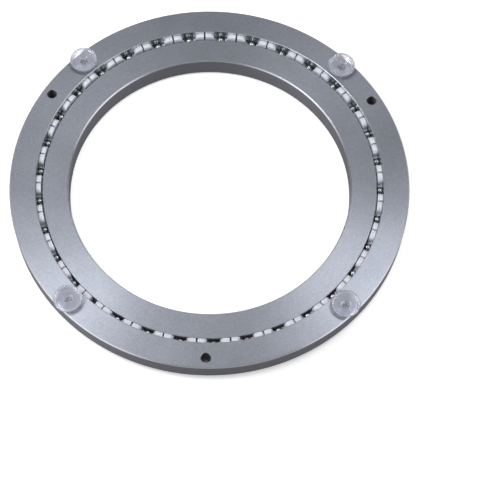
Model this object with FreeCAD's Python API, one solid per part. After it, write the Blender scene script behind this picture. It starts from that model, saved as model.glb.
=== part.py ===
import FreeCAD, Part
import math
import os
from FreeCAD import Vector

# Turntable bearing: two flat aluminium rings, one inside the other, with steel balls between
# them, split plastic spacers between the balls, clear grip pads on top and rubber feet below.
# Millimetres. +Z is up, the spin axis is Z, and the feet stand on Z = 0.

# Raceway, measured from the ball circle
race_radius = 85.45            # circle through the ball centres
ball_diameter = 4.0
ball_count = 32
ball_bite = 0.45               # how far a ball reaches into each ring past its wall
ball_clearance = 0.05          # between a ball and the flanks of the vee race
contact_angle = 30.0           # degrees from level to the line of contact on a flank

# Rings, in width from their race walls and in height from the ball plane
outer_ring_width = 13.0
inner_ring_width = 13.1
outer_ring_above = 6.3
outer_ring_below = 4.5
inner_ring_above = 3.1
inner_ring_below = 8.4
edge_chamfer = 0.6
race_edge_chamfer = 0.25       # on the inner ring's two edges beside the slot

# Three plain screw holes through the outer ring
screw_hole_count = 3
screw_hole_diameter = 5.0
screw_hole_inset = 5.3         # from the outer edge to the hole's centre
screw_hole_start = 30.0        # degrees
screw_hole_chamfer = 0.3

# Split spacers between the balls
closing_pitch = 8.3            # degrees between the two spacers that meet without a ball
closing_angle = 230.0          # degrees, the middle of that place
row_slide = 1.6                # degrees that the slack row is pushed together, midway along
slid_share = 0.85              # of the row, counted from the closing place
spacer_inner_clearance = 0.6   # to the inner ring's race wall
spacer_outer_clearance = 0.1   # to the outer ring's race wall
spacer_ball_clearance = 0.1
spacer_upper_wrap = 5.0        # degrees that each end reaches over its ball
spacer_lower_wrap = 30.0       # and under it
spacer_depth = 2.4             # from the ball plane down to the spacer's underside
spacer_bottom_taper = 0.5
dome_recess = 1.45             # from the outer ring's top face down to the dome's top
dome_end_space = 3.15          # from a ball's centre to the foot of the dome beside it
dome_corner_radius = 2.85
slit_width = 0.9
slit_floor_height = 0.0        # the slit's floor, from the ball plane
trimmed_end_length = 4.4       # from the slit's centre to the end cut flat at the closing place

# Clear cup-shaped grip pads with a stem pressed into the outer ring
pad_count = 4
pad_inset = 5.65               # from the outer edge to the pad's centre
pad_start = 45.0               # degrees
pad_height = 3.2
pad_base_radius = 5.9
pad_rim_radius = 7.0
pad_lip_height = 1.0           # straight side of the rim, below its top
pad_lip_width = 1.3            # flat top of the rim
pad_bowl_depth = 2.1
pad_bowl_floor_radius = 2.6
pad_dimple_radius = 1.1
pad_dimple_depth = 0.6
pad_stem_radius = 1.95
pad_stem_length = 5.5
pad_hole_clearance = 0.05      # around the stem
pad_hole_end_space = 0.5       # below the stem's tip

# Rubber feet in shallow recesses under the inner ring
foot_count = 4
foot_start = 45.0              # degrees
foot_radius = 4.0
foot_height = 1.0              # stands out below the ring
foot_recess_depth = 0.8
foot_side_clearance = 0.1

# Worked out from the sizes above
ball_radius = ball_diameter / 2
slot_half_width = ball_radius - ball_bite
outer_ring_inside = race_radius + slot_half_width
outer_ring_outside = outer_ring_inside + outer_ring_width
inner_ring_outside = race_radius - slot_half_width
inner_ring_inside = inner_ring_outside - inner_ring_width
ball_plane = foot_height + inner_ring_below
outer_ring_top = ball_plane + outer_ring_above
outer_ring_bottom = ball_plane - outer_ring_below
inner_ring_top = ball_plane + inner_ring_above
inner_ring_bottom = foot_height
ball_pitch = (360.0 - closing_pitch) / ball_count


def place(radius, angle, height=0.0):
    """The point at this radius, angle in degrees and height."""
    turn = math.radians(angle)
    return Vector(radius * math.cos(turn), radius * math.sin(turn), height)


def about_axis(shape, angle):
    """A copy of the shape turned about the spin axis."""
    copy = shape.copy()
    copy.rotate(Vector(0, 0, 0), Vector(0, 0, 1), angle)
    return copy


def closed_face(points):
    """A flat face with straight sides through the points."""
    return Part.Face(Part.makePolygon(points + [points[0]]))


def turned(points):
    """A solid of revolution about Z from (radius, height) points."""
    outline = [Vector(radius, 0, height) for radius, height in points]
    return closed_face(outline).revolve(Vector(0, 0, 0), Vector(0, 0, 1), 360)


def evenly_spaced(count, start):
    """Angles of a pattern of equal steps round the ring."""
    return [start + 360.0 * i / count for i in range(count)]


def spacer_angle(i):
    """The angle of a spacer, counted from 0 at one side of the closing place round to the other.

    The row has slack, so its first part lies a little closer together than its last.
    """
    even = closing_angle + closing_pitch / 2 + i * ball_pitch
    along = min(i / (slid_share * ball_count), 1.0)
    return even - row_slide * math.sin(math.pi * along) ** 2


def flat_ring(inside, outside, bottom, top, inside_chamfer, outside_chamfer):
    """A turned ring of rectangular section with its two inside and two outside edges chamfered."""
    most = min(top - bottom, outside - inside) / 4
    inner = min(inside_chamfer, most)
    outer = min(outside_chamfer, most)
    return turned([
        (inside + inner, bottom),
        (outside - outer, bottom),
        (outside, bottom + outer),
        (outside, top - outer),
        (outside - outer, top),
        (inside + inner, top),
        (inside, top - inner),
        (inside, bottom + inner),
    ])


def race_channel():
    """The diamond-section channel that leaves a vee race in both rings."""
    flank_distance = ball_radius + ball_clearance
    half_width = flank_distance / math.cos(math.radians(contact_angle))
    half_height = flank_distance / math.sin(math.radians(contact_angle))
    return turned([
        (race_radius - half_width, ball_plane),
        (race_radius, ball_plane - half_height),
        (race_radius + half_width, ball_plane),
        (race_radius, ball_plane + half_height),
    ])


def screw_hole():
    """The space of one through hole with both its edges chamfered, on the Z axis."""
    radius = screw_hole_diameter / 2
    mouth = radius + screw_hole_chamfer
    return turned([
        (0, outer_ring_bottom),
        (mouth, outer_ring_bottom),
        (radius, outer_ring_bottom + screw_hole_chamfer),
        (radius, outer_ring_top - screw_hole_chamfer),
        (mouth, outer_ring_top),
        (0, outer_ring_top),
    ])


def outer_ring():
    """The turning ring, with its race, screw holes and blind holes for the pad stems."""
    ring = flat_ring(
        outer_ring_inside, outer_ring_outside, outer_ring_bottom, outer_ring_top,
        edge_chamfer, edge_chamfer,
    )
    ring = ring.cut(race_channel())
    for angle in evenly_spaced(screw_hole_count, screw_hole_start):
        hole = screw_hole()
        hole.translate(place(outer_ring_outside - screw_hole_inset, angle))
        ring = ring.cut(hole)
    hole_depth = pad_stem_length + pad_hole_end_space
    for angle in evenly_spaced(pad_count, pad_start):
        floor = place(outer_ring_outside - pad_inset, angle, outer_ring_top - hole_depth)
        ring = ring.cut(Part.makeCylinder(pad_stem_radius + pad_hole_clearance, hole_depth, floor))
    return ring


def foot_circle():
    """The radius of the circle of feet, midway across the inner ring."""
    return (inner_ring_inside + inner_ring_outside) / 2


def inner_ring():
    """The standing ring, with its race and the recesses of its feet."""
    ring = flat_ring(
        inner_ring_inside, inner_ring_outside, inner_ring_bottom, inner_ring_top,
        edge_chamfer, race_edge_chamfer,
    )
    ring = ring.cut(race_channel())
    for angle in evenly_spaced(foot_count, foot_start):
        mouth = place(foot_circle(), angle, inner_ring_bottom)
        ring = ring.cut(Part.makeCylinder(foot_radius + foot_side_clearance, foot_recess_depth, mouth))
    return ring


def balls():
    """All the balls, each midway between two spacers, as separate solids."""
    spheres = []
    for i in range(ball_count):
        angle = (spacer_angle(i) + spacer_angle(i + 1)) / 2
        spheres.append(Part.makeSphere(ball_radius, place(race_radius, angle, ball_plane)))
    return Part.makeCompound(spheres)


def spacer_outline():
    """The spacer seen along the radius: a dome over two low ends hollowed for their balls.

    The outline lies in the YZ plane with the slit on Y = 0 and the ball plane on Z = 0.
    """
    tightest = min(spacer_angle(i + 1) - spacer_angle(i) for i in range(ball_count))
    ball_distance = race_radius * math.sin(math.radians(tightest / 2))
    seat_radius = ball_radius + spacer_ball_clearance
    over = math.radians(spacer_upper_wrap)
    under = math.radians(spacer_lower_wrap)
    ledge = ball_distance - seat_radius * math.cos(over)
    ledge_height = seat_radius * math.sin(over)
    lip = ball_distance - seat_radius * math.cos(under)
    lip_height = -seat_radius * math.sin(under)
    slit = slit_width / 2
    dome_top = outer_ring_above - dome_recess
    dome_foot = ball_distance - dome_end_space
    corner = min(dome_corner_radius, dome_foot - slit, dome_top - ledge_height)
    diagonal = corner * math.sqrt(0.5)
    bottom = -spacer_depth
    taper = min(spacer_bottom_taper, spacer_depth + lip_height)

    def point(along, height):
        return Vector(0, along, height)

    half = [
        Part.makeLine(point(slit, slit_floor_height), point(slit, dome_top)),
        Part.makeLine(point(slit, dome_top), point(dome_foot - corner, dome_top)),
        Part.Arc(
            point(dome_foot - corner, dome_top),
            point(dome_foot - corner + diagonal, dome_top - corner + diagonal),
            point(dome_foot, dome_top - corner),
        ).toShape(),
        Part.makeLine(point(dome_foot, dome_top - corner), point(dome_foot, ledge_height)),
        Part.makeLine(point(dome_foot, ledge_height), point(ledge, ledge_height)),
        Part.Arc(
            point(ledge, ledge_height),
            point(ball_distance - seat_radius, 0),
            point(lip, lip_height),
        ).toShape(),
        Part.makeLine(point(lip, lip_height), point(lip - taper, bottom)),
    ]
    other_half = [edge.mirror(Vector(0, 0, 0), Vector(0, 1, 0)) for edge in half]
    slit_floor = Part.makeLine(point(-slit, slit_floor_height), point(slit, slit_floor_height))
    underside = Part.makeLine(point(taper - lip, bottom), point(lip - taper, bottom))
    edges = Part.sortEdges(half + other_half + [slit_floor, underside])[0]
    return Part.Face(Part.Wire(edges))


def spacer():
    """One whole spacer at angle 0: a straight block as wide as the curved slot lets through."""
    outline = spacer_outline()
    reach = outline.BoundBox.YMax
    inner_side = inner_ring_outside + spacer_inner_clearance
    outer_side = math.sqrt((outer_ring_inside - spacer_outer_clearance) ** 2 - reach ** 2)
    outline.translate(Vector(inner_side, 0, ball_plane))
    return outline.extrude(Vector(outer_side - inner_side, 0, 0))


def trimmed(piece, side):
    """The spacer with its end on this side (1 or -1 along Y) cut off flat."""
    size = 4 * ball_diameter
    waste = Part.makeBox(size, size, size, Vector(race_radius - size / 2, 0, ball_plane - size / 2))
    shift = trimmed_end_length if side > 0 else -trimmed_end_length - size
    waste.translate(Vector(0, shift, 0))
    return piece.cut(waste)


def spacers():
    """Every spacer in its place, from one side of the closing place round to the other."""
    whole = spacer()
    pieces = [trimmed(whole, -1)] + [whole] * (ball_count - 1) + [trimmed(whole, 1)]
    return [about_axis(piece, spacer_angle(i)) for i, piece in enumerate(pieces)]


def grip_pad():
    """One clear pad on the Z axis: a stem, a flared cup and a dimple in its floor."""
    floor = pad_height - pad_bowl_depth
    return turned([
        (0, -pad_stem_length),
        (pad_stem_radius, -pad_stem_length),
        (pad_stem_radius, 0),
        (pad_base_radius, 0),
        (pad_rim_radius, pad_height - pad_lip_height),
        (pad_rim_radius, pad_height),
        (pad_rim_radius - pad_lip_width, pad_height),
        (pad_bowl_floor_radius, floor),
        (pad_dimple_radius, floor),
        (0, floor - pad_dimple_depth),
    ])


def foot():
    """One rubber foot on the Z axis, standing on Z = 0."""
    return Part.makeCylinder(foot_radius, foot_height + foot_recess_depth)


def write(node, shape):
    """Save one sub-part under its node's name."""
    shape.exportStep("parts/" + node + ".step")


def copies(shape, name, count, start, radius, height):
    """Save copies of a piece, set out evenly on a circle."""
    for i, angle in enumerate(evenly_spaced(count, start)):
        piece = shape.copy()
        piece.translate(place(radius, angle, height))
        write(name + "_" + str(i + 1), piece)


os.makedirs("parts", exist_ok=True)
write("outer_ring", outer_ring())
write("inner_ring", inner_ring())
write("bearing_balls", balls())
for i, piece in enumerate(spacers()):
    write("ball_spacer_%02d" % (i + 1), piece)
copies(grip_pad(), "grip_pad", pad_count, pad_start, outer_ring_outside - pad_inset, outer_ring_top)
copies(foot(), "foot", foot_count, foot_start, foot_circle(), 0)
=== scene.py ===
import math

import bpy
from bpy.props import FloatProperty, FloatVectorProperty, IntProperty, PointerProperty
from mathutils import Matrix, Vector


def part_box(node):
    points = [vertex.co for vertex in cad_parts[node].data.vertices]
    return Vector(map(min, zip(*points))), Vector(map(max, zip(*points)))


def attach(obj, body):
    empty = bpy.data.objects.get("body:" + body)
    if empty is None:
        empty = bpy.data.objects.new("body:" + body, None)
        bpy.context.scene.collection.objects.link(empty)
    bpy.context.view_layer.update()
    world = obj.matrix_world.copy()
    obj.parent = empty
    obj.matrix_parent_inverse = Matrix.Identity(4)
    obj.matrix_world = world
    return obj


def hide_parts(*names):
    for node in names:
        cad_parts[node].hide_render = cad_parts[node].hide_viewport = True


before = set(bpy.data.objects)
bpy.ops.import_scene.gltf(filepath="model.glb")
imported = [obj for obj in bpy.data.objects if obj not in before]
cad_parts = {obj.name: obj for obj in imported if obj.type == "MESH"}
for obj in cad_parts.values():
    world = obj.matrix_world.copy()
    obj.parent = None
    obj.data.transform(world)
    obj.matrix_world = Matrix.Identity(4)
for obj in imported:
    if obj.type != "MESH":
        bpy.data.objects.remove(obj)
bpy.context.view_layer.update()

bl_info = {
    "name": "Turntable bearing",
    "version": (1, 0, 0),
    "blender": (4, 5, 0),
    "location": "3D View > Sidebar > Bearing",
    "description": "Dresses the packed turntable bearing with rings, balls, spacers, pads and feet",
    "category": "Object",
}

MM = 0.001

# Points of a mesh that lie closer than this are welded.
WELD = 0.002 * MM
# Points closer than this count as the same place.
CLOSE = 0.01 * MM
# How far a cutter reaches past what it cuts.
PAST = MM
# A face is level where its normal is more upright than this.
LEVEL = 0.9

# Steps of the spin round small pieces, and round the cutters of small holes.
HOLE_STEPS = 48
SEAT_STEPS = 64
FOOT_STEPS = 64
PAD_STEPS = 96
# Cuts across each edge of the cube that becomes a ball.
BALL_CUTS = 13

# What is set round the rings: how many, and the place of the first in degrees.
SCREW_HOLES = (3, 30)
PADS = (4, 45)
FEET = (4, 45)

# The part of a noise's range that holds most of its values.
MOST = {"From Min": 0.3, "From Max": 0.7}


def low(node):
    """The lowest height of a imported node."""
    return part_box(node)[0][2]


def high(node):
    """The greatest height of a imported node."""
    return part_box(node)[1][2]


BALL_PLANE = (low("bearing_balls") + high("bearing_balls")) / 2


def colour(code):
    """The linear colour, with alpha, of an sRGB hex code such as #A1A5AB."""
    channels = [int(code[i:i + 2], 16) / 255 for i in (1, 3, 5)]
    return [c / 12.92 if c <= 0.04045 else ((c + 0.055) / 1.055) ** 2.4 for c in channels] + [1.0]


def length(name, description, millimetres):
    """A size property, written in millimetres and kept in metres."""
    return FloatProperty(name=name, description=description, default=millimetres * MM,
                         min=0.0, unit="LENGTH", precision=5)


def degrees(name, description, value):
    """An angle property, written in degrees and kept in radians."""
    return FloatProperty(name=name, description=description, default=math.radians(value),
                         subtype="ANGLE")


def paint(name, description, code):
    """A colour property from an sRGB hex code."""
    return FloatVectorProperty(name=name, description=description, default=colour(code),
                               subtype="COLOR", size=4, min=0.0, max=1.0)


class BearingRaceSizes(bpy.types.PropertyGroup):
    """Sizes that the rings, balls and spacers share."""
    ball_circle: length("Ball circle", "Radius of the circle through the ball centres", 85.45)
    ball: length("Ball radius", "Radius of one ball", 2.0)
    slot: length("Half slot", "Half the width of the slot between the rings", 1.55)
    flank_gap: length("Flank gap", "Space between a ball and the flanks of the race", 0.05)
    contact: degrees("Contact angle", "Angle of the line of contact on a race flank", 30)
    balls: IntProperty(name="Balls", description="Number of balls in the row", default=32, min=3)
    closing: degrees("Closing pitch", "Angle between the spacers that meet without a ball", 8.3)
    closing_place: degrees("Closing place", "Angle of the place without a ball", 230)
    slide: degrees("Slide", "How far the slack row is pushed together, midway along", 1.6)
    slide_share: FloatProperty(name="Slid share", default=0.85, min=0.1, max=1.0,
                               description="Share of the row that is pushed together")


class BearingRingSizes(bpy.types.PropertyGroup):
    """Sizes of the two turned rings."""
    outer_width: length("Outer width", "Radial width of the outer ring", 13.0)
    inner_width: length("Inner width", "Radial width of the inner ring", 13.1)
    chamfer: length("Chamfer", "Chamfer on the edges of both rings", 0.6)
    outer_race_chamfer: length("Outer race chamfer", "Chamfer of the outer ring at the slot", 0.2)
    inner_race_chamfer: length("Inner race chamfer", "Chamfer of the inner ring at the slot", 0.25)
    rounding: length("Rounding", "Broken corner at each end of a chamfer", 0.06)
    screw_hole: length("Screw hole", "Radius of a screw hole", 2.5)
    screw_chamfer: length("Hole chamfer", "Chamfer at the mouth of a screw hole", 0.1)
    screw_inset: length("Hole inset", "From the outer edge to the centre of a screw hole", 5.3)
    stem_hole: length("Stem hole", "Radius of a blind hole for a pad's stem", 2.0)
    stem_depth: length("Stem hole depth", "Depth of a blind hole", 6.0)
    pad_inset: length("Pad inset", "From the outer edge to the centre of a pad", 5.65)
    recess: length("Foot recess", "Radius of the recess for a foot", 4.1)
    recess_depth: length("Recess depth", "Depth of the recess for a foot", 0.8)
    steps: IntProperty(name="Steps", description="Steps of the spin round the axis",
                       default=288, min=24)


class BearingSpacerSizes(bpy.types.PropertyGroup):
    """Sizes of one split spacer."""
    inner_gap: length("Inner gap", "Space to the inner ring's wall of the slot", 0.6)
    outer_gap: length("Outer gap", "Space to the outer ring's wall of the slot", 0.1)
    seat: length("Seat", "Radius of the hollow that holds a ball", 2.1)
    over: degrees("Over", "How far each end reaches over its ball", 5)
    under: degrees("Under", "How far each end reaches under its ball", 30)
    depth: length("Depth", "From the ball plane down to the underside", 2.4)
    taper: length("Taper", "How much shorter each end is at the underside", 0.5)
    recess: length("Recess", "From the outer ring's top down to the dome", 1.45)
    end_space: length("End space", "From a ball's centre to the foot of the dome", 3.15)
    dome: length("Dome radius", "Radius of the dome's two shoulders", 2.3)
    slit: length("Slit", "Width of the slit", 0.9)
    trimmed: length("Trimmed end", "From the slit to an end that is cut flat", 4.4)
    rounding: length("Rounding", "Rounding of the moulded edges", 0.14)


class BearingPadSizes(bpy.types.PropertyGroup):
    """Sizes of one clear pad and one foot."""
    height: length("Pad height", "Height of a pad above the outer ring", 3.2)
    base: length("Base radius", "Radius where a pad stands on the ring", 5.9)
    lift: length("Pad lift", "Gap that keeps a pad's underside off the ring's top face", 0.03)
    rim: length("Rim radius", "Outer radius of the rim", 7.0)
    lip_height: length("Lip height", "Straight side of the rim", 1.0)
    lip: length("Lip width", "Width of the rim's top", 1.3)
    bowl: length("Bowl depth", "Depth of the bowl", 2.1)
    floor: length("Bowl floor", "Radius of the bowl's floor", 2.6)
    dimple: length("Dimple", "Radius of the dimple in the floor", 1.1)
    dimple_depth: length("Dimple depth", "Depth of the dimple", 0.6)
    stem: length("Stem", "Radius of the stem", 1.95)
    stem_length: length("Stem length", "Length of the stem below the pad", 5.5)
    rounding: length("Rounding", "Rounding of the soft edges", 0.45)
    foot: length("Foot radius", "Radius of a foot", 4.0)
    foot_edge: length("Foot edge", "Rounding of a foot's lower edge", 0.3)
    foot_hollow: length("Foot hollow", "Radius of the shallow hollow under a foot", 2.8)
    hollow_depth: length("Hollow depth", "Depth of the hollow under a foot", 0.2)
    hollow_slope: length("Hollow slope", "Width of the slope round the hollow", 0.3)


class BearingColours(bpy.types.PropertyGroup):
    """Colours of the finishes."""
    aluminium: paint("Aluminium", "Satin turned aluminium", "#A3A7B1")
    aluminium_dark: paint("Aluminium, dark", "Darker grain of the turned surface", "#8C919C")
    # Painted shade: the upright walls are painted darker than the turned faces.
    aluminium_wall_painted_shade: paint("Aluminium, walls", "Painted shade on the upright walls", "#717278")
    # Painted highlight: the chamfers and the outer ring's slot wall are painted brighter.
    aluminium_edge_painted_highlight: paint("Aluminium, edges", "Painted highlight on the chamfers", "#D0D3D8")
    steel: paint("Steel", "Polished bearing steel", "#A9ACB0")
    nylon: paint("Nylon", "White moulded nylon", "#DFE1EA")
    nylon_shade: paint("Nylon, shade", "Flow marks in the nylon", "#D3D6E1")
    vinyl: paint("Vinyl", "Clear soft vinyl with a faint lavender tint", "#F1F2FD")
    rubber: paint("Rubber", "Dark foot rubber", "#2A2A2C")
    floor: paint("Floor", "Pale studio floor", "#F2F2F3")


class BearingStage(bpy.types.PropertyGroup):
    """Camera, lamps and floor."""
    lens: FloatProperty(name="Lens", description="Focal length for a 36 mm wide picture",
                        default=105.939)
    distance: FloatProperty(name="Distance", description="From the camera to the point it looks at",
                            default=0.71661, unit="LENGTH")
    azimuth: degrees("Azimuth", "Turn of the camera about the spin axis", -2.2519)
    elevation: degrees("Elevation", "Angle of the view above level", 65.5873)
    roll: degrees("Roll", "Roll of the camera", 3.1221)
    aim: FloatVectorProperty(name="Aim", description="Point in the middle of the picture",
                             default=(0.019609, -0.037368, 0.0153), subtype="XYZ", unit="LENGTH")
    lamp_distance: FloatProperty(name="Lamp distance", description="From the spin axis to each lamp",
                                 default=0.95, unit="LENGTH")
    lamp_size: FloatProperty(name="Lamp size", description="Width of each round lamp",
                             default=0.42, unit="LENGTH")
    floor_width: FloatProperty(name="Floor width", description="Width of the square floor",
                               default=12.0, unit="LENGTH")


def active(piece):
    """Makes this the only selected piece."""
    bpy.ops.object.select_all(action="DESELECT")
    piece.select_set(True)
    bpy.context.view_layer.objects.active = piece


def named(name):
    """Names the newly made piece and its mesh."""
    piece = bpy.context.object
    piece.name = piece.data.name = name
    return piece


def lathe(name, outline, steps, rounding=0.0, soft=None, segments=2):
    """A turned piece: (radius, height) points are extruded from one vertex and spun about Z.

    The points numbered in soft, or all of them, have their corners rounded before the spin.
    An outline that starts and ends on the axis stays open there. Any other is closed to a ring.
    """
    bpy.ops.object.select_all(action="DESELECT")
    bpy.ops.mesh.primitive_plane_add(size=MM)
    piece = named(name)
    on_axis = outline[0][0] == 0 and outline[-1][0] == 0
    path = outline if on_axis else outline + [outline[0]]
    bpy.ops.object.mode_set(mode="EDIT")
    bpy.ops.mesh.select_mode(type="VERT")
    bpy.ops.mesh.select_all(action="SELECT")
    bpy.ops.mesh.merge(type="CENTER")
    bpy.ops.transform.translate(value=(path[0][0], 0, path[0][1]))
    for before, after in zip(path, path[1:]):
        move = (after[0] - before[0], 0, after[1] - before[1])
        bpy.ops.mesh.extrude_region_move(TRANSFORM_OT_translate={"value": move})
    bpy.ops.mesh.select_all(action="SELECT")
    bpy.ops.mesh.remove_doubles(threshold=WELD)
    if rounding:
        chosen = [outline[i] for i in soft] if soft else outline
        corners = [Vector((radius, 0, height)) for radius, height in chosen if radius > 0]
        select_vertices(piece, lambda place: any((place - corner).length < CLOSE for corner in corners))
        bpy.ops.mesh.bevel(offset=rounding, segments=segments, affect="VERTICES")
    bpy.ops.mesh.select_all(action="SELECT")
    bpy.ops.mesh.spin(steps=steps, angle=math.tau, center=(0, 0, 0), axis=(0, 0, 1))
    bpy.ops.mesh.select_all(action="SELECT")
    bpy.ops.mesh.remove_doubles(threshold=WELD)
    bpy.ops.mesh.normals_make_consistent(inside=False)
    bpy.ops.object.mode_set(mode="OBJECT")
    return piece


def select_vertices(piece, wanted):
    """Selects, in edit mode, the vertices whose place passes the test."""
    bpy.ops.mesh.select_mode(type="VERT")
    bpy.ops.mesh.select_all(action="DESELECT")
    bpy.ops.object.mode_set(mode="OBJECT")
    for vertex in piece.data.vertices:
        vertex.select = bool(wanted(vertex.co))
    bpy.ops.object.mode_set(mode="EDIT")


def select_faces(piece, wanted):
    """Selects, in edit mode, the faces that pass the test."""
    bpy.ops.mesh.select_mode(type="FACE")
    bpy.ops.mesh.select_all(action="DESELECT")
    bpy.ops.object.mode_set(mode="OBJECT")
    for face in piece.data.polygons:
        face.select = bool(wanted(face))
    bpy.ops.object.mode_set(mode="EDIT")


def select_edges(piece, wanted):
    """Selects, in edit mode, the edges whose two ends pass the test."""
    bpy.ops.mesh.select_mode(type="EDGE")
    bpy.ops.mesh.select_all(action="DESELECT")
    bpy.ops.object.mode_set(mode="OBJECT")
    points = piece.data.vertices
    for edge in piece.data.edges:
        edge.select = bool(wanted(*[points[i].co for i in edge.vertices]))
    bpy.ops.object.mode_set(mode="EDIT")


def moved(piece, radius=0.0, angle=0.0, height=0.0):
    """Puts the piece at this radius, angle and height, with its place in its mesh."""
    active(piece)
    piece.rotation_euler = (0, 0, angle)
    piece.location = (radius * math.cos(angle), radius * math.sin(angle), height)
    bpy.ops.object.transform_apply(location=True, rotation=True, scale=True)
    return piece


def copied(piece, name):
    """A copy of the piece with its own mesh."""
    active(piece)
    bpy.ops.object.duplicate(linked=False)
    return named(name)


def around(count, first):
    """The angles of a full circle of equal steps, the first of them given in degrees."""
    return [math.radians(first) + math.tau * i / count for i in range(count)]


def cut(piece, cutters, operation="DIFFERENCE"):
    """Takes the cutters' space out of the piece, or keeps only what they share, and removes them."""
    for cutter in cutters:
        active(piece)
        bpy.ops.object.modifier_add(type="BOOLEAN")
        modifier = piece.modifiers[-1]
        modifier.operation = operation
        modifier.solver = "EXACT"
        modifier.object = cutter
        bpy.ops.object.modifier_apply(modifier=modifier.name)
        bpy.data.objects.remove(cutter)


def rounded(piece, width, segments=2, angle=35):
    """Rounds the sharp edges of the piece with an applied bevel."""
    active(piece)
    bpy.ops.object.modifier_add(type="BEVEL")
    modifier = piece.modifiers[-1]
    modifier.width = width
    modifier.segments = segments
    modifier.limit_method = "ANGLE"
    modifier.angle_limit = math.radians(angle)
    modifier.use_clamp_overlap = True
    bpy.ops.object.modifier_apply(modifier=modifier.name)


def dressed(piece, finish, body, replaced, smooth=30):
    """Gives a finished piece its shading, material and body, and hides the CAD node that it stands for.
    """
    active(piece)
    bpy.ops.object.shade_smooth_by_angle(angle=math.radians(smooth))
    piece.data.materials.clear()
    piece.data.materials.append(finish)
    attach(piece, body)
    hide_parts(replaced)
    return piece


def node(tree, kind, inputs=None, **settings):
    """Adds a node with its settings and links.

    Each input is a value, another node's output, or another node, whose first live output it takes.
    """
    made = tree.nodes.new(kind)
    for key, value in settings.items():
        setattr(made, key, value)
    for socket, value in (inputs or {}).items():
        if isinstance(value, bpy.types.Node):
            value = next(output for output in value.outputs if output.enabled)
        if isinstance(value, bpy.types.NodeSocket):
            tree.links.new(value, made.inputs[socket])
        else:
            made.inputs[socket].default_value = value
    return made


def material(surface):
    """The material named after surface, which gives its shader's inputs, made on its first use."""
    made = bpy.data.materials.get(surface.__name__)
    if made is None:
        made = bpy.data.materials.new(surface.__name__)
        made.use_nodes = True
        tree = made.node_tree
        tree.nodes.clear()
        shader = node(tree, "ShaderNodeBsdfPrincipled", surface(tree))
        node(tree, "ShaderNodeOutputMaterial", {"Surface": shader})
    return made


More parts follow.
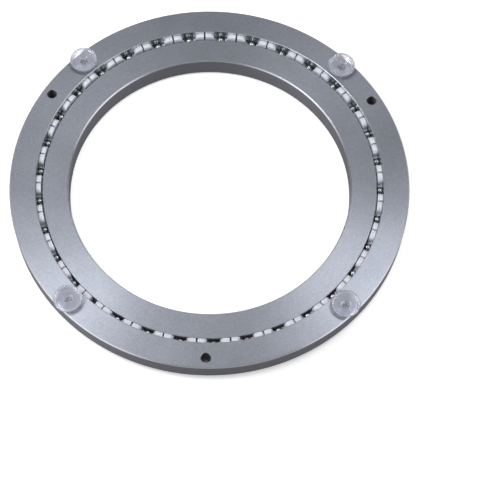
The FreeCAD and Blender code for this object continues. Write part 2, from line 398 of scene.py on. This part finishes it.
def turned_aluminium_finish(tree):
    """Aluminium, faced on a lathe and satin anodised.

    The fine circular marks spread the light across themselves, which gives the bright fans on a
    turned face, and the etch before anodising leaves a faint salt-and-pepper grain. The upright walls
    are painted a darker grey, a painted shade. The chamfers and the outer ring's wall of the slot are
    painted brighter and made glossier, a painted highlight for the light that they catch.
    """
    colours, race = bpy.context.scene.bearing_colours, bpy.context.scene.bearing_race
    where = node(tree, "ShaderNodeTexCoord").outputs
    place = where["Object"]
    parts = node(tree, "ShaderNodeSeparateXYZ", {"Vector": place}).outputs
    flat = node(tree, "ShaderNodeCombineXYZ", {"X": parts["X"], "Y": parts["Y"]})
    radius = node(tree, "ShaderNodeVectorMath", {0: flat}, operation="LENGTH")

    # Three masks: level faces, all but the upright walls, and the outer ring's wall of the slot. They
    # put the painted shade on the upright walls and the painted highlight on the chamfers and the slot
    # wall.
    facing = node(tree, "ShaderNodeSeparateXYZ", {"Vector": where["Normal"]}).outputs
    upright = node(tree, "ShaderNodeMath", {0: facing["Z"]}, operation="ABSOLUTE")
    level = node(tree, "ShaderNodeMapRange", {"Value": upright, "From Min": 0.80, "From Max": 0.95})
    sloped = node(tree, "ShaderNodeMapRange", {"Value": upright, "From Min": 0.30, "From Max": 0.45})
    # The outer ring's slot wall gets the painted highlight colour and a lower roughness.
    slot_wall = race.ball_circle + race.slot
    aside = node(tree, "ShaderNodeMath", {0: radius, 1: slot_wall}, operation="SUBTRACT")
    aside = node(tree, "ShaderNodeMath", {0: aside}, operation="ABSOLUTE")
    slot_wall_gloss_and_painted_highlight = node(tree, "ShaderNodeMapRange", {"Value": aside,
                                               "From Min": 0.1 * MM, "From Max": 0.2 * MM,
                                               "To Min": 1.0, "To Max": 0.0})
    bright = node(tree, "ShaderNodeMath", {0: sloped, 1: slot_wall_gloss_and_painted_highlight}, operation="MAXIMUM")

    # Tool marks are 0.1 mm apart on the real face and are drawn at 0.5 mm, so that they show.
    along = node(tree, "ShaderNodeMath", {0: radius, 1: parts["Z"]}, operation="ADD")
    marks = node(tree, "ShaderNodeTexNoise", {"W": along, "Scale": 1 / (0.5 * MM), "Detail": 3.0},
                 noise_dimensions="1D")
    # The grain of the etch, about 0.1 mm, is drawn at 0.8 mm. The colour drifts over 22 mm.
    grain = node(tree, "ShaderNodeTexNoise", {"Vector": place, "Scale": 1 / (0.8 * MM), "Detail": 3.0})
    cloud = node(tree, "ShaderNodeTexNoise", {"Vector": place, "Scale": 1 / (22 * MM), "Detail": 3.0})
    speckle = node(tree, "ShaderNodeMapRange", {"Value": grain, **MOST, "To Max": 0.6})
    drift = node(tree, "ShaderNodeMapRange", {"Value": cloud, **MOST, "To Max": 0.4})
    weight = node(tree, "ShaderNodeMath", {0: speckle, 1: drift}, operation="ADD")
    height = node(tree, "ShaderNodeMath", {0: marks, 1: grain}, operation="ADD")

    grey, dark = colours.aluminium, colours.aluminium_dark
    # wall is the painted shade colour of the upright walls; edge is the painted highlight colour of the
    # chamfers and the slot wall.
    edge, wall = colours.aluminium_edge_painted_highlight, colours.aluminium_wall_painted_shade
    satin = node(tree, "ShaderNodeMix", {0: weight, 6: dark, 7: grey}, data_type="RGBA")
    # Painted highlight on the chamfers and the slot wall, painted shade on the other upright walls.
    painted_shade_and_highlight = node(tree, "ShaderNodeMix", {0: bright, 6: wall, 7: edge}, data_type="RGBA")
    side_rough = node(tree, "ShaderNodeMapRange", {"Value": bright, "To Min": 0.60, "To Max": 0.26})
    face_rough = node(tree, "ShaderNodeMapRange", {"Value": marks, **MOST,
                                                   "To Min": 0.33, "To Max": 0.38})
    bump = node(tree, "ShaderNodeBump", {"Strength": 0.25, "Distance": 0.02 * MM, "Height": height})
    return {
        "Base Color": node(tree, "ShaderNodeMix", {0: level, 6: painted_shade_and_highlight, 7: satin}, data_type="RGBA"),
        "Metallic": 1.0,
        "Roughness": node(tree, "ShaderNodeMix", {0: level, 2: side_rough, 3: face_rough}),
        "Anisotropic": 0.72,
        "Anisotropic Rotation": 0.25,
        "Tangent": node(tree, "ShaderNodeTangent", direction_type="RADIAL", axis="Z"),
        "Normal": bump,
    }


def bearing_steel_finish(tree):
    """Chrome steel, lapped and lightly oiled: bright, with soft highlights and faint smears."""
    place = node(tree, "ShaderNodeTexCoord").outputs["Object"]
    # Smears of oil are about 1.6 mm wide.
    smear = node(tree, "ShaderNodeTexNoise", {"Vector": place, "Scale": 1 / (1.6 * MM), "Detail": 2.0})
    rough = node(tree, "ShaderNodeMapRange", {"Value": smear, **MOST, "To Min": 0.2, "To Max": 0.32})
    return {
        "Base Color": bpy.context.scene.bearing_colours.steel,
        "Metallic": 1.0,
        "Roughness": rough,
    }


def white_nylon_finish(tree):
    """Nylon, injection moulded: a soft white with light that goes in a little, semi-gloss."""
    colours = bpy.context.scene.bearing_colours
    place = node(tree, "ShaderNodeTexCoord").outputs["Object"]
    # Flow marks are about 2.5 mm wide. The mould's grain, under 0.1 mm, is drawn at 0.3 mm.
    flow = node(tree, "ShaderNodeTexNoise", {"Vector": place, "Scale": 1 / (2.5 * MM), "Detail": 2.0})
    grain = node(tree, "ShaderNodeTexNoise", {"Vector": place, "Scale": 1 / (0.3 * MM), "Detail": 1.0})
    shade = node(tree, "ShaderNodeMapRange", {"Value": flow, **MOST})
    rough = node(tree, "ShaderNodeMapRange", {"Value": flow, **MOST, "To Min": 0.28, "To Max": 0.4})
    bump = node(tree, "ShaderNodeBump", {"Strength": 0.15, "Distance": 0.02 * MM, "Height": grain})
    return {
        "Base Color": node(tree, "ShaderNodeMix", {0: shade, 6: colours.nylon_shade, 7: colours.nylon},
                           data_type="RGBA"),
        "Roughness": rough,
        "IOR": 1.53,
        "Subsurface Weight": 0.06,
        "Subsurface Radius": (1.0, 1.0, 1.0),
        "Subsurface Scale": 0.8 * MM,
        "Normal": bump,
    }


def clear_vinyl_finish(tree):
    """Soft clear PVC, moulded: glassy, with a faint haze and a lavender tint.

    Part of the light goes straight through, by the alpha, because the thin walls of a pad bend it
    less than solid glass would and the ring shows through them.
    """
    place = node(tree, "ShaderNodeTexCoord").outputs["Object"]
    # The haze lies in patches about 1.8 mm wide.
    haze = node(tree, "ShaderNodeTexNoise", {"Vector": place, "Scale": 1 / (1.8 * MM), "Detail": 2.0})
    rough = node(tree, "ShaderNodeMapRange", {"Value": haze, **MOST, "To Min": 0.03, "To Max": 0.07})
    bump = node(tree, "ShaderNodeBump", {"Strength": 0.03, "Distance": 0.05 * MM, "Height": haze})
    return {
        "Base Color": bpy.context.scene.bearing_colours.vinyl,
        "Roughness": rough,
        "IOR": 1.53,
        "Transmission Weight": 0.75,
        "Alpha": 0.74,
        "Normal": bump,
    }


def foot_rubber_finish(tree):
    """Moulded rubber: dark, matt and slightly mottled."""
    dark = bpy.context.scene.bearing_colours.rubber
    lighter = [c * 1.5 for c in dark[:3]] + [1.0]
    place = node(tree, "ShaderNodeTexCoord").outputs["Object"]
    # The mould's grain, about 0.1 mm, is drawn at 0.6 mm.
    grain = node(tree, "ShaderNodeTexNoise", {"Vector": place, "Scale": 1 / (0.6 * MM), "Detail": 2.0})
    mottle = node(tree, "ShaderNodeMapRange", {"Value": grain, **MOST})
    rough = node(tree, "ShaderNodeMapRange", {"Value": grain, **MOST, "To Min": 0.65, "To Max": 0.85})
    bump = node(tree, "ShaderNodeBump", {"Strength": 0.3, "Distance": 0.05 * MM, "Height": grain})
    return {
        "Base Color": node(tree, "ShaderNodeMix", {0: mottle, 6: dark, 7: lighter}, data_type="RGBA"),
        "Roughness": rough,
        "Normal": bump,
    }


def painted_studio_floor(tree):
    """Matt pale paint, lifted to white where the camera sees it, also through the clear pads.

    The lift fades out below the rings, so that their shade on the floor stays.
    """
    race, rings = bpy.context.scene.bearing_race, bpy.context.scene.bearing_rings
    ring_middle = race.ball_circle + (rings.outer_width - rings.inner_width) / 2
    rays = node(tree, "ShaderNodeLightPath").outputs
    seen = node(tree, "ShaderNodeMath", {0: rays["Is Camera Ray"], 1: rays["Is Transmission Ray"]},
                operation="MAXIMUM")
    place = node(tree, "ShaderNodeTexCoord").outputs["Object"]
    radius = node(tree, "ShaderNodeVectorMath", {0: place}, operation="LENGTH")
    aside = node(tree, "ShaderNodeMath", {0: radius, 1: ring_middle}, operation="SUBTRACT")
    aside = node(tree, "ShaderNodeMath", {0: aside}, operation="ABSOLUTE")
    # With the lamps on it, this much more light makes the paint white.
    clear = node(tree, "ShaderNodeMapRange", {"Value": aside, "From Min": 9 * MM, "From Max": 15 * MM,
                                              "To Max": 0.58})
    return {
        "Base Color": bpy.context.scene.bearing_colours.floor,
        "Roughness": 0.9,
        "Specular IOR Level": 0.0,
        "Emission Color": (1, 1, 1, 1),
        "Emission Strength": node(tree, "ShaderNodeMath", {0: seen, 1: clear}, operation="MULTIPLY"),
    }


def race_flank(sizes):
    """How far the vee race reaches in from the ball circle, and half its height at a ring's wall."""
    distance = sizes.ball + sizes.flank_gap
    reach = distance / math.cos(sizes.contact)
    full = distance / math.sin(sizes.contact)
    return reach, full * (1 - sizes.slot / reach)


def ring_outline(plain_wall, race_wall, side, bottom, top):
    """The section of a ring between the radii of its plain wall and its race wall.

    side is 1 for the outer ring, whose race faces the axis, and -1 for the inner ring.
    """
    race, rings = bpy.context.scene.bearing_race, bpy.context.scene.bearing_rings
    chamfer = rings.chamfer
    race_chamfer = rings.outer_race_chamfer if side > 0 else rings.inner_race_chamfer
    reach, mouth = race_flank(race)
    apex = race.ball_circle + side * reach
    plain_face = plain_wall - side * chamfer
    race_face = race_wall + side * race_chamfer
    return [
        (race_face, bottom), (plain_face, bottom),
        (plain_wall, bottom + chamfer), (plain_wall, top - chamfer),
        (plain_face, top), (race_face, top),
        (race_wall, top - race_chamfer), (race_wall, BALL_PLANE + mouth), (apex, BALL_PLANE),
        (race_wall, BALL_PLANE - mouth), (race_wall, bottom + race_chamfer),
    ]


class MESH_OT_bearing_outer_ring(bpy.types.Operator):
    """Turns the outer ring and drills its screw holes and stem holes."""
    bl_idname = "mesh.bearing_outer_ring"
    bl_label = "Outer ring"

    def execute(self, context):
        rings, race = context.scene.bearing_rings, context.scene.bearing_race
        bottom, top = low("outer_ring"), high("outer_ring")
        inside = race.ball_circle + race.slot
        outside = inside + rings.outer_width
        ring = lathe("turned_outer_ring", ring_outline(outside, inside, 1, bottom, top),
                     rings.steps, rings.rounding)
        hole, mouth = rings.screw_hole, rings.screw_hole + rings.screw_chamfer
        drill = [
            (0, bottom - PAST), (mouth + PAST, bottom - PAST), (hole, bottom + rings.screw_chamfer),
            (hole, top - rings.screw_chamfer), (mouth + PAST, top + PAST), (0, top + PAST),
        ]
        cutters = [moved(lathe("drill", drill, HOLE_STEPS), outside - rings.screw_inset, angle)
                   for angle in around(*SCREW_HOLES)]
        blind = [
            (0, top - rings.stem_depth), (rings.stem_hole, top - rings.stem_depth),
            (rings.stem_hole, top + PAST), (0, top + PAST),
        ]
        cutters += [moved(lathe("drill", blind, HOLE_STEPS), outside - rings.pad_inset, angle)
                    for angle in around(*PADS)]
        cut(ring, cutters)
        dressed(ring, material(turned_aluminium_finish), "turntable", "outer_ring",
                smooth=12)
        return {"FINISHED"}


class MESH_OT_bearing_inner_ring(bpy.types.Operator):
    """Turns the inner ring and sinks the recesses of its feet."""
    bl_idname = "mesh.bearing_inner_ring"
    bl_label = "Inner ring"

    def execute(self, context):
        rings, race = context.scene.bearing_rings, context.scene.bearing_race
        bottom, top = low("inner_ring"), high("inner_ring")
        outside = race.ball_circle - race.slot
        inside = outside - rings.inner_width
        ring = lathe("turned_inner_ring", ring_outline(inside, outside, -1, bottom, top),
                     rings.steps, rings.rounding)
        recess = [
            (0, bottom - PAST), (rings.recess, bottom - PAST),
            (rings.recess, bottom + rings.recess_depth), (0, bottom + rings.recess_depth),
        ]
        cut(ring, [moved(lathe("recess", recess, HOLE_STEPS), (inside + outside) / 2, angle)
                   for angle in around(*FEET)])
        dressed(ring, material(turned_aluminium_finish), "base", "inner_ring",
                smooth=12)
        return {"FINISHED"}


def spacer_angle(race, i):
    """The angle of a spacer, counted from 0 at one side of the closing place round to the other.

    The row has slack, so its first part lies a little closer together than its last.
    """
    even = race.closing_place + race.closing / 2 + i * (math.tau - race.closing) / race.balls
    along = min(i / (race.slide_share * race.balls), 1.0)
    return even - race.slide * math.sin(math.pi * along) ** 2


def tightest_pitch(race):
    """The smallest angle between two neighbouring spacers with a ball between them."""
    return min(spacer_angle(race, i + 1) - spacer_angle(race, i) for i in range(race.balls))


class MESH_OT_bearing_balls(bpy.types.Operator):
    """Makes one ball from a subdivided cube and sets copies of it round the race."""
    bl_idname = "mesh.bearing_balls"
    bl_label = "Steel balls"

    def execute(self, context):
        race = context.scene.bearing_race
        bpy.ops.object.select_all(action="DESELECT")
        bpy.ops.mesh.primitive_cube_add(size=2 * race.ball)
        ball = named("ball")
        bpy.ops.object.mode_set(mode="EDIT")
        bpy.ops.mesh.select_all(action="SELECT")
        bpy.ops.mesh.subdivide(number_cuts=BALL_CUTS)
        bpy.ops.object.mode_set(mode="OBJECT")
        bpy.ops.object.modifier_add(type="CAST")
        modifier = ball.modifiers[-1]
        modifier.factor = 1.0
        modifier.size = race.ball
        modifier.use_radius_as_size = False
        bpy.ops.object.modifier_apply(modifier=modifier.name)
        row = []
        for i in range(race.balls):
            angle = (spacer_angle(race, i) + spacer_angle(race, i + 1)) / 2
            row.append(moved(copied(ball, "ball_%02d" % (i + 1)), race.ball_circle, angle, BALL_PLANE))
        bpy.data.objects.remove(ball)
        active(row[0])
        for each in row[1:]:
            each.select_set(True)
        bpy.ops.object.join()
        dressed(named("polished_balls"), material(bearing_steel_finish),
                "ball_train", "bearing_balls", smooth=180)
        return {"FINISHED"}


class MESH_OT_bearing_spacers(bpy.types.Operator):
    """Models one split spacer and sets copies of it round the race, with the two trimmed ends."""
    bl_idname = "mesh.bearing_spacers"
    bl_label = "Split spacers"

    def execute(self, context):
        sizes, race = context.scene.bearing_spacers, context.scene.bearing_race
        ball_distance = race.ball_circle * math.sin(tightest_pitch(race) / 2)
        inside = race.ball_circle - race.slot + sizes.inner_gap
        outside = race.ball_circle + race.slot - sizes.outer_gap
        middle = (inside + outside) / 2
        bottom = BALL_PLANE - sizes.depth
        dome_top = high("outer_ring") - sizes.recess

        spacer = self.block(sizes, ball_distance, middle, 2 * (outside - inside), bottom, dome_top)
        cut(spacer, self.seats_and_slit(sizes, ball_distance, middle, dome_top))
        track = [
            (inside, bottom - PAST), (outside, bottom - PAST),
            (outside, dome_top + PAST), (inside, dome_top + PAST),
        ]
        cut(spacer, [lathe("track", track, context.scene.bearing_rings.steps)], "INTERSECT")

        # Form 0 is whole, and forms -1 and 1 have the end on that side cut flat.
        forms = {}
        for side in (-1, 0, 1):
            form = copied(spacer, "form")
            if side:
                bpy.ops.object.mode_set(mode="EDIT")
                bpy.ops.mesh.select_all(action="SELECT")
                bpy.ops.mesh.bisect(plane_co=(middle, side * sizes.trimmed, 0), plane_no=(0, side, 0),
                                    use_fill=True, clear_outer=True)
                bpy.ops.object.mode_set(mode="OBJECT")
            rounded(form, sizes.rounding)
            forms[side] = form
        ends = {0: -1, race.balls: 1}
        for i in range(race.balls + 1):
            piece = copied(forms[ends.get(i, 0)], "split_spacer_%02d" % (i + 1))
            moved(piece, angle=spacer_angle(race, i))
            dressed(piece, material(white_nylon_finish), "ball_train",
                    "ball_spacer_%02d" % (i + 1))
        for form in [spacer, *forms.values()]:
            bpy.data.objects.remove(form)
        return {"FINISHED"}

    def block(self, sizes, ball_distance, middle, wide, bottom, dome_top):
        """A tapered block with a ledge at each end and a dome with two round shoulders."""
        lip = ball_distance - sizes.seat * math.cos(sizes.under)
        lip_height = BALL_PLANE - sizes.seat * math.sin(sizes.under)
        ledge_height = BALL_PLANE + sizes.seat * math.sin(sizes.over)
        dome_foot = ball_distance - sizes.end_space
        bpy.ops.object.select_all(action="DESELECT")
        bpy.ops.mesh.primitive_cube_add(size=1, location=(middle, 0, (bottom + lip_height) / 2),
                                        scale=(wide, 2 * lip, lip_height - bottom))
        spacer = named("spacer")
        bpy.ops.object.transform_apply(location=True, rotation=True, scale=True)
        bpy.ops.object.mode_set(mode="EDIT")
        centre = (middle, 0, bottom)
        select_faces(spacer, lambda face: face.normal.z < -LEVEL)
        bpy.ops.transform.resize(value=(1, (lip - sizes.taper) / lip, 1), center_override=centre)
        select_faces(spacer, lambda face: face.normal.z > LEVEL)
        rise = ledge_height - lip_height
        bpy.ops.mesh.extrude_region_move(TRANSFORM_OT_translate={"value": (0, 0, rise)})
        bpy.ops.mesh.extrude_region_move(TRANSFORM_OT_translate={"value": (0, 0, 0)})
        bpy.ops.transform.resize(value=(1, dome_foot / lip, 1), center_override=centre)
        rise = dome_top - ledge_height
        bpy.ops.mesh.extrude_region_move(TRANSFORM_OT_translate={"value": (0, 0, rise)})
        select_edges(spacer, lambda a, b: min(a.z, b.z) > dome_top - CLOSE and abs(a.y - b.y) < CLOSE)
        bpy.ops.mesh.bevel(offset=sizes.dome, segments=9, affect="EDGES")
        bpy.ops.object.mode_set(mode="OBJECT")
        return spacer

    def seats_and_slit(self, sizes, ball_distance, middle, dome_top):
        """The cutters of a spacer, all longer than it is wide: its two ball seats and its slit."""
        across = 10 * MM
        cutters = []
        for side in (-1, 1):
            bpy.ops.object.select_all(action="DESELECT")
            bpy.ops.mesh.primitive_cylinder_add(vertices=SEAT_STEPS, radius=sizes.seat, depth=across,
                                                location=(middle, side * ball_distance, BALL_PLANE),
                                                rotation=(0, math.pi / 2, 0))
            cutters.append(named("seat"))
        bpy.ops.object.select_all(action="DESELECT")
        slit_height = dome_top + PAST - BALL_PLANE
        bpy.ops.mesh.primitive_cube_add(size=1, location=(middle, 0, BALL_PLANE + slit_height / 2),
                                        scale=(across, sizes.slit, slit_height))
        return cutters + [named("slit")]


class MESH_OT_bearing_pads(bpy.types.Operator):
    """Turns one clear cup-shaped pad with its stem and sets four on the outer ring."""
    bl_idname = "mesh.bearing_pads"
    bl_label = "Grip pads"

    def execute(self, context):
        sizes, race = context.scene.bearing_pads, context.scene.bearing_race
        rings = context.scene.bearing_rings
        floor = sizes.height - sizes.bowl
        outline = [
            (0, -sizes.stem_length), (sizes.stem, -sizes.stem_length),
            (sizes.stem, sizes.lift), (sizes.base, sizes.lift),
            (sizes.rim, sizes.height - sizes.lip_height), (sizes.rim, sizes.height),
            (sizes.rim - sizes.lip, sizes.height), (sizes.floor, floor), (sizes.dimple, floor),
            (0, floor - sizes.dimple_depth),
        ]
        # All but the corners at the ring's top face are soft.
        pad = lathe("pad", outline, PAD_STEPS, sizes.rounding, soft=(1, 4, 5, 6, 7, 8), segments=5)
        circle = race.ball_circle + race.slot + rings.outer_width - rings.pad_inset
        for i, angle in enumerate(around(*PADS)):
            piece = moved(copied(pad, "clear_grip_pad_%d" % (i + 1)), circle, angle, high("outer_ring"))
            dressed(piece, material(clear_vinyl_finish), "turntable",
                    "grip_pad_%d" % (i + 1), smooth=40)
        bpy.data.objects.remove(pad)
        return {"FINISHED"}


class MESH_OT_bearing_feet(bpy.types.Operator):
    """Turns one rubber foot with a rounded edge and sets four under the inner ring."""
    bl_idname = "mesh.bearing_feet"
    bl_label = "Rubber feet"

    def execute(self, context):
        sizes, race = context.scene.bearing_pads, context.scene.bearing_race
        rings = context.scene.bearing_rings
        top = high("foot_1")
        outline = [
            (0, sizes.hollow_depth), (sizes.foot_hollow, sizes.hollow_depth),
            (sizes.foot_hollow + sizes.hollow_slope, 0), (sizes.foot, 0), (sizes.foot, top), (0, top),
        ]
        # Only the lower edge, the outline's fourth point, is soft.
        foot = lathe("foot", outline, FOOT_STEPS, sizes.foot_edge, soft=(3,), segments=4)
        circle = race.ball_circle - race.slot - rings.inner_width / 2
        for i, angle in enumerate(around(*FEET)):
            piece = moved(copied(foot, "rubber_foot_%d" % (i + 1)), circle, angle)
            dressed(piece, material(foot_rubber_finish), "base", "foot_%d" % (i + 1))
        bpy.data.objects.remove(foot)
        return {"FINISHED"}


class SCENE_OT_bearing_stage(bpy.types.Operator):
    """Sets the pale floor, the surroundings, the soft lamps and the camera."""
    bl_idname = "scene.bearing_stage"
    bl_label = "Stage"

    def execute(self, context):
        scene, stage = context.scene, context.scene.bearing_stage
        bpy.ops.object.select_all(action="DESELECT")
        bpy.ops.mesh.primitive_plane_add(size=stage.floor_width)
        floor = named("studio_floor")
        floor.data.materials.append(material(painted_studio_floor))
        self.surroundings(scene)
        self.lamps(scene, stage)
        self.camera(scene, stage)
        scene.view_settings.view_transform = "Standard"
        return {"FINISHED"}

    def surroundings(self, scene):
        """Dim walls, brighter on the near side, that fade to a dim ceiling, and two bright screens."""
        near_wall, far_wall, ceiling = 0.45, 0.22, 0.22
        # direction of each screen, its strength, and the cosines at its soft rim and its full middle
        screens = [((-0.80, -0.50, 0.31), 0.85, 0.77, 0.97), ((0.92, -0.33, 0.25), 1.0, 0.85, 0.98)]
        world = bpy.data.worlds.new("studio")
        scene.world = world
        world.use_nodes = True
        tree = world.node_tree
        tree.nodes.clear()
        towards = node(tree, "ShaderNodeTexCoord").outputs["Generated"]
        parts = node(tree, "ShaderNodeSeparateXYZ", {"Vector": towards}).outputs
        walls = node(tree, "ShaderNodeMapRange", {"Value": parts["Y"],
                                                  "From Min": -0.8, "From Max": 0.4,
                                                  "To Min": near_wall, "To Max": far_wall})
        high_up = node(tree, "ShaderNodeMapRange", {"Value": parts["Z"],
                                                    "From Min": 0.25, "From Max": 0.75})
        strength = node(tree, "ShaderNodeMix", {0: high_up, 2: walls, 3: ceiling})
        for direction, full, rim, middle in screens:
            near = node(tree, "ShaderNodeVectorMath", {0: towards, 1: direction},
                        operation="DOT_PRODUCT")
            glow = node(tree, "ShaderNodeMapRange", {"Value": near, "From Min": rim, "From Max": middle,
                                                     "To Max": full})
            strength = node(tree, "ShaderNodeMath", {0: strength, 1: glow}, operation="ADD")
        sky = node(tree, "ShaderNodeBackground", {"Color": (1, 1, 1, 1), "Strength": strength})
        node(tree, "ShaderNodeOutputWorld", {"Surface": sky})

    def lamps(self, scene, stage):
        """Three round soft lamps that face the spin axis."""
        # name, direction from the object, power in watts
        lamps = [
            ("softbox_left", (-0.533, -0.058, 0.844), 3.9),
            ("softbox_right", (0.369, 0.163, 0.915), 2.15),
            ("softbox_top", (-0.164, 0.285, 0.944), 0.8),
        ]
        for name, towards, power in lamps:
            lamp = bpy.data.lights.new(name, "AREA")
            lamp.shape = "DISK"
            lamp.size = stage.lamp_size
            lamp.energy = power
            piece = bpy.data.objects.new(name, lamp)
            scene.collection.objects.link(piece)
            direction = Vector(towards).normalized()
            piece.location = direction * stage.lamp_distance
            piece.rotation_euler = (-direction).to_track_quat("-Z", "Y").to_euler()

    def camera(self, scene, stage):
        """The camera, turned about the spin axis, raised, rolled and moved back from its aim."""
        camera = bpy.data.objects.new("camera", bpy.data.cameras.new("camera"))
        scene.collection.objects.link(camera)
        camera.data.sensor_width = 36
        camera.data.lens = stage.lens
        camera.data.clip_start = 0.01
        turn = (Matrix.Rotation(stage.azimuth, 4, "Z")
                @ Matrix.Rotation(math.pi / 2 - stage.elevation, 4, "X")
                @ Matrix.Rotation(stage.roll, 4, "Z"))
        back = turn @ Vector((0, 0, stage.distance))
        camera.matrix_world = Matrix.Translation(Vector(stage.aim) + back) @ turn
        scene.camera = camera


PROPERTIES = {
    "bearing_race": BearingRaceSizes,
    "bearing_rings": BearingRingSizes,
    "bearing_spacers": BearingSpacerSizes,
    "bearing_pads": BearingPadSizes,
    "bearing_colours": BearingColours,
    "bearing_stage": BearingStage,
}

OPERATORS = [
    MESH_OT_bearing_outer_ring, MESH_OT_bearing_inner_ring, MESH_OT_bearing_balls,
    MESH_OT_bearing_spacers, MESH_OT_bearing_pads, MESH_OT_bearing_feet, SCENE_OT_bearing_stage,
]


class VIEW3D_PT_bearing(bpy.types.Panel):
    """Lists the pieces of the bearing in the order in which they are made, then all sizes."""
    bl_label = "Turntable bearing"
    bl_space_type = "VIEW_3D"
    bl_region_type = "UI"
    bl_category = "Bearing"

    def draw(self, context):
        for operator in OPERATORS:
            self.layout.operator(operator.bl_idname)
        for name, group in PROPERTIES.items():
            box = self.layout.box()
            for key in group.__annotations__:
                box.prop(getattr(context.scene, name), key)


def register():
    for group in PROPERTIES.values():
        bpy.utils.register_class(group)
    for name, group in PROPERTIES.items():
        setattr(bpy.types.Scene, name, PointerProperty(type=group))
    for made in OPERATORS + [VIEW3D_PT_bearing]:
        bpy.utils.register_class(made)


def unregister():
    for made in [VIEW3D_PT_bearing] + OPERATORS[::-1]:
        bpy.utils.unregister_class(made)
    for name in PROPERTIES:
        delattr(bpy.types.Scene, name)
    for group in PROPERTIES.values():
        bpy.utils.unregister_class(group)


def main():
    register()
    for operator in OPERATORS:
        category, name = operator.bl_idname.split(".")
        getattr(getattr(bpy.ops, category), name)()


if __name__ == "__main__":
    main()
